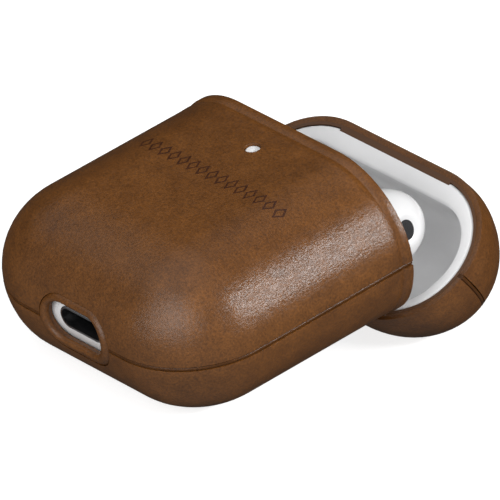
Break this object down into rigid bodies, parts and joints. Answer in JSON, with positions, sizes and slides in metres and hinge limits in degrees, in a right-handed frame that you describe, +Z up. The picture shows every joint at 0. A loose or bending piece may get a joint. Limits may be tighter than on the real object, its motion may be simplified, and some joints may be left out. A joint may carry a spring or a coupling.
{
  "type": "earbud charging case with leather cover",
  "caption": "Rounded pebble-shaped wireless earbud case with hinged lid, in a two-part tan leather cover with a port opening and a light hole, lying on its back with the lid open.",
  "frame": {"origin": "bottom centre of the open case's bounding box, on the surface it rests on", "axes": "+X across the case's width, +Y horizontally from the port end towards the lid, +Z up; the base's own axis is tilted up by 12.98 degrees towards the lid, as the open case rests"},
  "size_m": [0.0474, 0.0642, 0.0302],
  "materials": {
    "tan_leather": "satin smooth full-grain leather, burnished",
    "leather_edge": "darker pressed leather edge",
    "cover_shell": "dark brown moulded plastic",
    "adhesive": "soft tacky film",
    "white_plastic": "gloss",
    "hinge_steel": "bright rolled steel",
    "magnet": "nickel plate",
    "port_steel": "deep drawn steel",
    "black_plastic": "moulded",
    "board": "solder mask",
    "battery_foil": "laminated foil pouch",
    "foam": "closed cell foam",
    "copper": "enamelled copper wire",
    "ferrite": "sintered",
    "clear_plastic": "frosted clear",
    "light_chip": "lens",
    "gold_contact": "plated",
    "metal_cap": "polished",
    "silicone": "matt translucent silicone",
    "black_mesh": "acoustic mesh"
  },
  "bodies": {
    "cover_base": {"base_leather_front": "tan_leather", "base_leather_back": "tan_leather", "base_seam_welt": "leather_edge", "port_bezel": "leather_edge", "base_shell": "cover_shell"},
    "case_base": {"case_housing": "white_plastic", "case_insert": "white_plastic", "hinge_bracket": "hinge_steel", "hinge_pin": "hinge_steel", "base_magnet_right": "magnet", "base_magnet_left": "magnet", "port_shell": "port_steel", "port_tongue": "black_plastic", "port_board": "board", "battery": "battery_foil", "battery_pad": "foam", "circuit_board": "board", "inner_frame": "black_plastic", "charging_coil": "copper", "coil_ferrite": "ferrite", "button_switch": "black_plastic", "light_pipe": "clear_plastic", "status_light": "light_chip", "contact_pins_right": "gold_contact", "contact_pins_left": "gold_contact"},
    "lid": {"lid_leather_front": "tan_leather", "lid_leather_back": "tan_leather", "lid_seam_welt": "leather_edge", "lid_shell": "cover_shell", "lid_adhesive_front": "adhesive", "lid_adhesive_back": "adhesive", "lid_housing": "white_plastic", "lid_insert": "white_plastic", "hinge_leaf": "hinge_steel", "lid_magnet_right": "magnet", "lid_magnet_left": "magnet"},
    "earbud_right": {"bud_right_head": "white_plastic", "bud_right_stem": "white_plastic", "bud_right_end_cap": "metal_cap", "bud_right_tip": "silicone", "bud_right_vent_mesh": "black_mesh"},
    "earbud_left": {"bud_left_head": "white_plastic", "bud_left_stem": "white_plastic", "bud_left_end_cap": "metal_cap", "bud_left_tip": "silicone", "bud_left_vent_mesh": "black_mesh"},
    "button": {"setup_button": "white_plastic"}
  },
  "joints": [
    {"name": "case_slide", "type": "slide", "parent": "cover_base", "child": "case_base", "axis": [0, 0.9744, 0.2247], "range_m": [0, 0.042]},
    {"name": "lid_hinge", "type": "hinge", "parent": "case_base", "child": "lid", "pos_m": [0, 0.00915, 0.0072], "axis": [-1, 0, 0], "range_deg": [-57.8, 0]},
    {"name": "earbud_right_lift", "type": "slide", "parent": "case_base", "child": "earbud_right", "axis": [0, 0.9744, 0.2247], "range_m": [0, 0.004]},
    {"name": "earbud_left_lift", "type": "slide", "parent": "case_base", "child": "earbud_left", "axis": [0, 0.9744, 0.2247], "range_m": [0, 0.004]},
    {"name": "button_press", "type": "slide", "parent": "case_base", "child": "button", "axis": [0, -0.2247, 0.9744], "range_m": [0, 0.0003], "stiffness_N_per_m": 1500}
  ]
}
